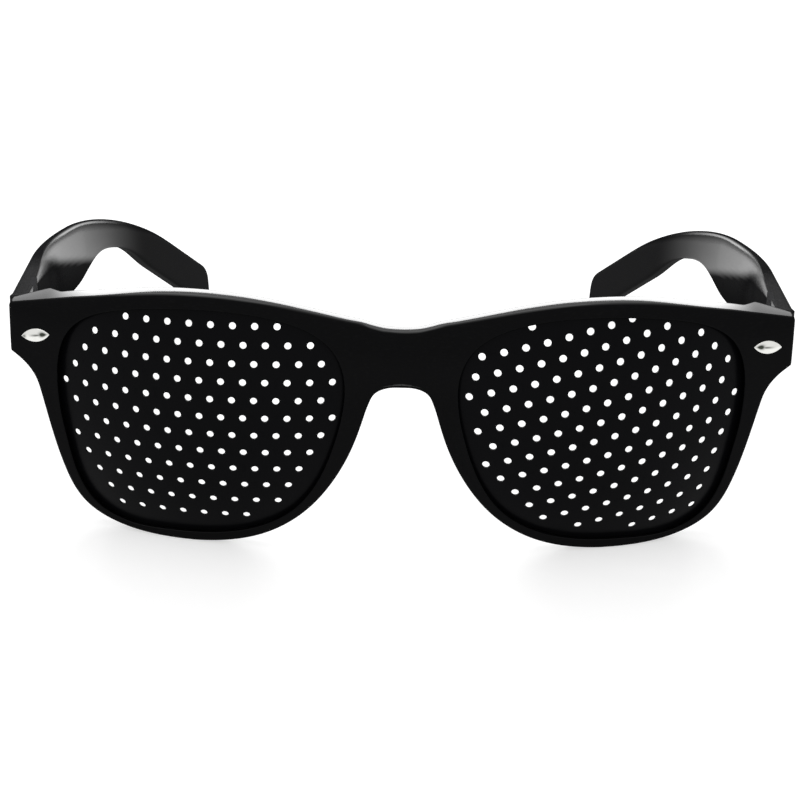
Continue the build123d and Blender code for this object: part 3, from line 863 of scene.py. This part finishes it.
def rivetPiece(sideName, sign):
    # almond outline of two arcs; height = edge + dome * (1 - t^2) * (1 - u^2), t across and u along
    slope = front["endSlope"]
    height = rivet["heights"][sideName]
    depth = frontDepth(np.array(rivet["x"]), np.array(height))
    ballEnd = ballFront(front["arcEndX"], height, faceRadius)
    rise = (height - front["ballHeight"]) / (front["ballDepth"] - ballEnd)
    out = unit(np.array([sign * slope, -1.0, rise]))
    along = np.array([1.0, sign * slope, -sign * rivet["falls"][sideName]])
    along = unit(along - out * (along @ out))
    upward = np.cross(out, along)
    origin = np.array([sign * rivet["x"], float(depth), height])
    u = np.sin(np.linspace(-np.pi / 2, np.pi / 2, rivet["alongSteps"]))[:, None]
    t = np.linspace(-1, 1, rivet["acrossSteps"])[None, :]
    ball = (rivet["halfLong"] ** 2 + rivet["halfTall"] ** 2) / (2 * rivet["halfTall"])
    half = np.sqrt(ball**2 - (u * rivet["halfLong"]) ** 2) - ball + rivet["halfTall"]
    high = rivet["edge"] + (rivet["proud"] - rivet["edge"]) * (1 - t * t) * (1 - u * u)
    alongs = u * rivet["halfLong"] + 0 * t
    ups = half * t
    verts = [np.stack([alongs, ups, high + 0 * ups], -1).reshape(-1, 3)]
    faces = gridFaces(*alongs.shape).tolist()
    # painted dark reflections: soft spots on the dome
    paintedReflection = np.zeros_like(alongs)
    for at, rising, wide, tall, deep in rivet["marks"][:3 if sign < 0 else 2]:
        paintedReflection = np.maximum(paintedReflection, deep * np.exp(-(((-sign * u - at) / wide) ** 2 + ((t - rising) / tall) ** 2)))
    # skirt down into its seat, then the stud
    lowSide = np.stack([alongs[:, 0], ups[:, 0]], 1)
    highSide = np.stack([alongs[::-1, -1], ups[::-1, -1]], 1)[1:-1]
    edge = np.concatenate([lowSide, highSide])
    turn = np.linspace(0, 2 * np.pi, rivet["studSides"], endpoint=False)
    ring = rivet["studRadius"] * np.stack([np.cos(turn), np.sin(turn)], 1)
    studTop = -rivet["sunk"] + rivet["studLap"]
    base = verts[0].shape[0]
    tubes = ((edge, rivet["edge"], -rivet["sunk"]),
             (ring, studTop, -rivet["sunk"] - rivet["studLong"]))
    for loop, top, low in tubes:
        n = len(loop)
        k = np.arange(n)
        verts += [np.column_stack([loop, np.full(n, level)]) for level in (top, low)]
        faces += (gridFaces(2, n, closedColumns=True) + base).tolist()
        faces.append((k + n + base).tolist())
        if loop is ring:
            faces.append((k[::-1] + base).tolist())
        base += 2 * n
    verts = np.vstack(verts)
    marks = np.concatenate([paintedReflection.reshape(-1), np.zeros(len(verts) - paintedReflection.size)])
    at = origin + verts[:, :1] * along + verts[:, 1:2] * upward + verts[:, 2:] * out
    piece = meshPiece(sideName + "Rivet", place(*at.T), faces, "front", rivetChrome)
    setValues(piece, "paintedReflection", marks)
    weld(piece)
    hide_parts(sideName + "_front_rivet")


rivetChrome = rivetFinish()
for sideName, sign in sides:
    rivetPiece(sideName, sign)
print("rivets ready")

# Temples

temple = {
    "thick": 3.7 * mm,
    "outerX": 73.0 * mm,
    "gap": 0.2 * mm,
    "top": 43.1 * mm,
    "frontTall": 9.8 * mm,
    "straight": 50.2 * mm,
    "curve": 92.0 * mm,
    "turn": radians(26.3),
    "topFall": radians(10.3),
    "topRun": 57.0 * mm,
    "earRadius": 70.0 * mm,
    "earFall": radians(41.2),
    "earTall": 9.4 * mm,
    "tipRun": 2.3 * mm,
    "tipRadius": 5.6 * mm,
    "tipShare": 0.6,  # of that radius, by which the tip's middle sits low
    "heelRadius": 0.8 * mm,
    "earStart": 0.952,  # share of the ear's run where the lower edge turns straight
    "edge": 0.85 * mm,
    "frontEdge": 0.18 * mm,
    "edgeRun": 2.5 * mm,  # in which the hinge end's small rounding grows to the full one
    "edgeLimit": 0.499,  # most rounding as a share of the height
    "crownStart": 28.0 * mm,  # from here the inner top edge grows into a crown
    "crownFull": 68.0 * mm,
    "crownWide": 2.3 * mm,
    "crownTall": 8.0 * mm,
    "crownEnd": 96.0 * mm,  # and shrinks again on the ear piece
    "crownGone": 112.0 * mm,
    "crownSpare": 1.2 * mm,
    "crownLimit": 0.72,  # most of the height that the crown takes
    "bellyWay": (1, -0.35),  # the lower edge's way at the hinge
    "stations": 260,
    # shares of the edges' length that the stations bunch up before and after
    "frontBunch": 0.012,
    "tipBunch": (0.9, 0.955),
    "frontSteps": 8,
    "bendSteps": 60,
    "sideSteps": 16,
    "edgeSteps": 7,
    "crownSteps": 15,
}
leaf = {
    "start": 19.3 * mm,
    "end": 30.9 * mm,
    "low": 34.7 * mm,
    "high": 41.9 * mm,
    "sunk": 0.05 * mm,
    "skin": 0.01 * mm,  # how near a point is to the inner face to be sunk
}
bellyShares = [(0.153, 0.659), (0.319, 0.571), (0.486, 0.511), (0.629, 0.482), (0.725, 0.542),
               (0.796, 0.515), (0.856, 0.447)]


def roundCorner(before, corner, after, radius, count=14):
    # arc that touches both straight edges beside a corner
    a, b = unit(before - corner), unit(after - corner)
    half = np.arccos(np.clip(a @ b, -1, 1)) / 2
    middle = corner + unit(a + b) * radius / sin(half)
    t = np.linspace(0, 1, count)
    start = corner + a * radius / tan(half) - middle
    end = corner + b * radius / tan(half) - middle
    whole = np.pi - 2 * half
    return middle + (np.sin((1 - t) * whole)[:, None] * start + np.sin(t * whole)[:, None] * end) / sin(whole)


def templeEdges():
    # upper and lower edges as depth and height, meeting in the middle of the tip's end
    t = temple
    frontAt = front["jointDepth"] + t["gap"]
    fall, drop = t["topFall"], t["earFall"]
    shoulder = np.array([frontAt + t["topRun"] * cos(fall), t["top"] - t["topRun"] * sin(fall)])
    turn = np.linspace(fall, drop, t["bendSteps"])
    bend = shoulder + t["earRadius"] * np.stack([np.sin(turn) - sin(fall), np.cos(turn) - cos(fall)], 1)
    earEnd = bend[-1]
    earRun = earEnd[0] - frontAt
    slope = tan(stand["lean"])
    table = stand["restDrop"] / cos(stand["lean"])
    heelDepth = (earEnd[1] - t["earTall"] + earEnd[0] * tan(drop) - table) / (tan(drop) - slope)

    def earEdge(depth, below):
        return np.array([depth, earEnd[1] - below - (depth - earEnd[0]) * tan(drop)])

    heel = earEdge(heelDepth, t["earTall"])
    tipDepth = heelDepth + t["tipRun"]
    tipHigh = earEdge(tipDepth, 0)
    tipLow = np.array([tipDepth, table - tipDepth * slope])
    tipMiddle = np.array([tipDepth, (tipLow[1] + tipHigh[1] - t["tipShare"] * t["tipRadius"]) / 2])
    earLow = earEdge(frontAt + t["earStart"] * earRun, t["earTall"])
    belly = np.array([(frontAt, t["top"] - t["frontTall"])]
                     + [(frontAt + u * earRun, v * t["top"]) for u, v in bellyShares] + [tuple(earLow)])
    lower = smoothCurve(belly, curvePoints["belly"], startWay=t["bellyWay"], endWay=(cos(drop), -sin(drop)))
    highCorner = roundCorner(earEnd, tipHigh, tipLow, t["tipRadius"])
    lowCorner = roundCorner(heel, tipLow, tipHigh, t["heelRadius"])
    upper = np.vstack([[(frontAt, t["top"])], bend, highCorner, [tipMiddle]])
    return upper, np.vstack([lower, [heel], lowCorner, [tipMiddle]])


def templeX(depth):
    # outer face in plan: straight, an arc inwards, then straight to the tip; and its lean
    t = temple
    past = np.maximum(depth - t["straight"], 0)
    turn = np.arcsin(np.clip(past / t["curve"], 0, sin(t["turn"])))
    arcDepth = t["curve"] * sin(t["turn"])
    x = t["outerX"] - t["curve"] * (1 - np.cos(turn)) - np.maximum(past - arcDepth, 0) * tan(t["turn"])
    return x, turn


def templeArm(sign):
    # a rounded slab section carried from the hinge to the tip between the two edges
    upper, lower = templeEdges()
    # stations bunch up at both ends, where the corners are
    bunch, (tipAt, tipShare) = temple["frontBunch"], temple["tipBunch"]
    even = np.linspace(0, 1, temple["stations"])
    s = np.concatenate([np.linspace(0, bunch, temple["frontSteps"])[:-1],
                        np.interp(even, [0, tipAt, 1], [bunch, tipShare, 1])])
    pairs = []
    for edge in (upper, lower):
        length = runLength(edge)
        want = s * length[-1]
        pairs.append(np.stack([np.interp(want, length, edge[:, k]) for k in (0, 1)], 1))
    top, low = pairs
    tall = np.linalg.norm(top - low, axis=1)[:, None]
    thick = temple["thick"]
    frontAt = front["jointDepth"] + temple["gap"]
    # edge rounding: full along the arm, small at the hinge end, limited by the height at the tip
    along = np.minimum(top[:, 0], low[:, 0])[:, None] - frontAt
    grown = np.clip(along / temple["edgeRun"], 0, 1)
    r = temple["frontEdge"] + (temple["edge"] - temple["frontEdge"]) * grown
    r = np.minimum(r, tall * temple["edgeLimit"])
    turn = np.linspace(0, np.pi / 2, temple["edgeSteps"])[None, :]
    side = np.linspace(0, 1, temple["sideSteps"])[None, 1:-1]
    over = np.linspace(0, 1, temple["edgeSteps"])[None, 1:-1]
    # loop: up the outer face, over the top, down the inner face, back under; v up, w outer to inner
    vUp = r + (tall - 2 * r) * side
    wOver = r + (thick - 2 * r) * over
    depthAt = top[:, :1]
    crown = (ease(depthAt, temple["crownStart"], temple["crownFull"])
             * (1 - ease(depthAt, temple["crownEnd"], temple["crownGone"])))
    wide = r + (np.minimum(temple["crownWide"], thick - temple["crownSpare"]) - r) * crown
    high = r + (np.minimum(temple["crownTall"], tall * temple["crownLimit"]) - r) * crown
    wOverTop = r + (thick - r - wide) * over
    vDown = high + (tall - high - r) * side
    crownTurn = np.linspace(0, np.pi / 2, temple["crownSteps"])[None, :]
    v = np.hstack([vUp, tall - r + r * np.sin(turn), tall + 0 * wOverTop,
                   tall - high + high * np.cos(crownTurn),
                   tall - vDown, r - r * np.sin(turn), 0 * wOver, r - r * np.cos(turn)])
    w = np.hstack([0 * vUp, r - r * np.cos(turn), wOverTop,
                   thick - wide + wide * np.sin(crownTurn),
                   thick + 0 * vDown, thick - r + r * np.cos(turn), thick - wOver, r - r * np.sin(turn)])
    share = v / np.maximum(tall, 1e-9)
    depth = low[:, :1] + (top[:, :1] - low[:, :1]) * share
    height = low[:, 1:] + (top[:, 1:] - low[:, 1:]) * share
    outer, lean = templeX(depth)
    # the inner face is sunk a little where the hinge's leaf is let in
    inLeaf = ((depth > leaf["start"]) & (depth < leaf["end"])
              & (height > leaf["low"]) & (height < leaf["high"]))
    w = w - leaf["sunk"] * (inLeaf & (w > thick - leaf["skin"]))
    x = outer - w * np.cos(lean)
    depth = depth - w * np.sin(lean)
    points = place(sign * x, depth, height)
    points[..., 2] = np.maximum(points[..., 2], 0)
    rows, columns = x.shape
    faces = gridFaces(rows, columns, closedColumns=True).tolist()
    faces.append(list(range(columns)))  # hinge end
    return points, faces


def armPaintedSheen(arm, sign):
    # painted reflection: strong on the bend's inner face above a sloping band of painted shade, with a
    # painted highlight line along its upper edge
    at, way = pointsAndNormals(arm)

    def span(values, name):
        return ease(values, *paintedSheenSpans[name])

    outside, depth, upward = sign * way[:, 0], at[:, 1], way[:, 2]
    bend = span(depth, "bendStart") * (1 - span(depth, "bendEnd"))
    # painted shade band below a sloping line near the hinge
    line = at[:, 2] + shadeBandLine["fall"] * depth - shadeBandLine["height"]
    lowShine = np.interp(line, paintedSheenSpans["band"], paintedSheen["armBand"])
    above = np.maximum(span(line, "aboveBand"), span(depth, "bandEnd"))
    glow = paintedSheen["armEar"] + (paintedSheen["armInside"] - paintedSheen["armEar"]) * bend
    glow = lowShine + (glow - lowShine) * above
    # painted highlight line along the upper edge near the hinge
    edgeLine = span(upward, "edgeUp") * (1 - span(upward, "edgeOver")) * (1 - span(depth, "edgeEnd"))
    glow = np.maximum(glow, paintedSheen["armEdge"] * edgeLine)
    glow = paintedSheen["armTop"] + (glow - paintedSheen["armTop"]) * span(-outside, "armInside")
    crowned = span(upward, "crownUp") * span(depth, "crownStart")
    glow = glow * (1 - (1 - paintedSheen["armCrown"]) * crowned)
    return glow + (paintedSheen["rear"] - paintedSheen["armTop"]) * span(outside, "armOutside")


for sideName, sign in sides:
    verts, faces = templeArm(sign)
    arm = meshPiece(sideName + "Arm", verts, faces, sideName + "_temple", templePlastic)
    weld(arm)
    # painted reflection, painted shade band and painted highlight line on the temple
    setValues(arm, "paintedSheen", armPaintedSheen(arm, sign))
    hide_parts(sideName + "_temple")
print("temples ready")

# Stage

studio = {
    "floorColour": (0.62, 0.62, 0.62, 1.0),
    "floorLift": 0.58,
    "floorHalf": 3.0,
    "worldLight": 0.62,
    "white": (1.0, 1.0, 1.0, 1.0),
}


def lookedAt(shade):
    # 1 for rays from the camera, also by way of a mirror or a clear piece
    camera = shade.node("LightPath", output=0)
    paths = camera.out.node.outputs
    return (camera + Sock(shade, paths["Is Glossy Ray"]) + Sock(shade, paths["Is Transmission Ray"])).clip()


def floorMaterial():
    # pale floor, lifted to white only where it is looked at, with the shadow kept
    shade = Shade(bpy.data.materials.new("floorWhite"))
    diffuse = shade.node("BsdfDiffuse", Color=studio["floorColour"])
    glow = shade.node("Emission", Color=studio["white"], Strength=studio["floorLift"])
    lifted = shade.join("AddShader", (diffuse, glow))
    return shade.surface(shade.mixShaders(lookedAt(shade), diffuse, lifted))


half = studio["floorHalf"]
floorMesh = bpy.data.meshes.new("floor")
corners = [(-half, -half, 0), (half, -half, 0), (half, half, 0), (-half, half, 0)]
floorMesh.from_pydata(corners, [], [(0, 1, 2, 3)])
floorMesh.materials.append(floorMaterial())
floor = newObject("floor", floorMesh)

# grey light all round, white where it is looked at
world = bpy.data.worlds.new("studio")
bpy.context.scene.world = world
sky = Shade(world)
plain = sky.node("Background", Color=(studio["worldLight"],) * 3 + (1.0,))
white = sky.node("Background", Color=studio["white"])
sky.surface(sky.mixShaders(lookedAt(sky), plain, white), "World")

lamps = {
    # a low bright sweep behind, which the upward edges mirror, and a soft light overhead
    "backSweep": {"at": (0.0, 1.5, 0.62), "aim": (0, 0, 0.03), "size": (1.8, 0.55), "power": 26.0},
    "overhead": {"at": (-0.25, 0.1, 0.9), "aim": (0, 0, 0.02), "size": (0.8, 0.8), "power": 2.0},
}
for lampName, values in lamps.items():
    light = bpy.data.lights.new(lampName, "AREA")
    light.shape = "RECTANGLE"
    light.size, light.size_y = values["size"]
    light.energy = values["power"]
    lamp = newObject(lampName, light)
    way = Vector(values["aim"]) - Vector(values["at"])
    lamp.location = values["at"]
    lamp.rotation_euler = way.to_track_quat("-Z", "Y").to_euler()

# Camera, placed in the front's directions

view = {"x": -3.61 * mm, "depth": -453.32 * mm, "height": 262.22 * mm,
        "pitch": radians(26.864), "yaw": radians(0.42), "roll": radians(1.276),
        "lens": 126.0, "sensor": 36.0, "nearest": 0.01}
cameraData = bpy.data.cameras.new("camera")
cameraData.sensor_width = view["sensor"]
cameraData.lens = view["lens"]
cameraData.clip_start = view["nearest"]
camera = newObject("camera", cameraData)
spot = place(np.array(view["x"]), np.array(view["depth"]), np.array(view["height"]))
turn = (Matrix.Rotation(-view["yaw"], 4, "Z")
        @ Matrix.Rotation(radians(90) - (view["pitch"] - stand["lean"]), 4, "X")
        @ Matrix.Rotation(view["roll"], 4, "Z"))
camera.matrix_world = Matrix.Translation(spot.tolist()) @ turn
bpy.context.scene.camera = camera
bpy.context.scene.view_settings.view_transform = "Standard"
print("stage and camera ready")
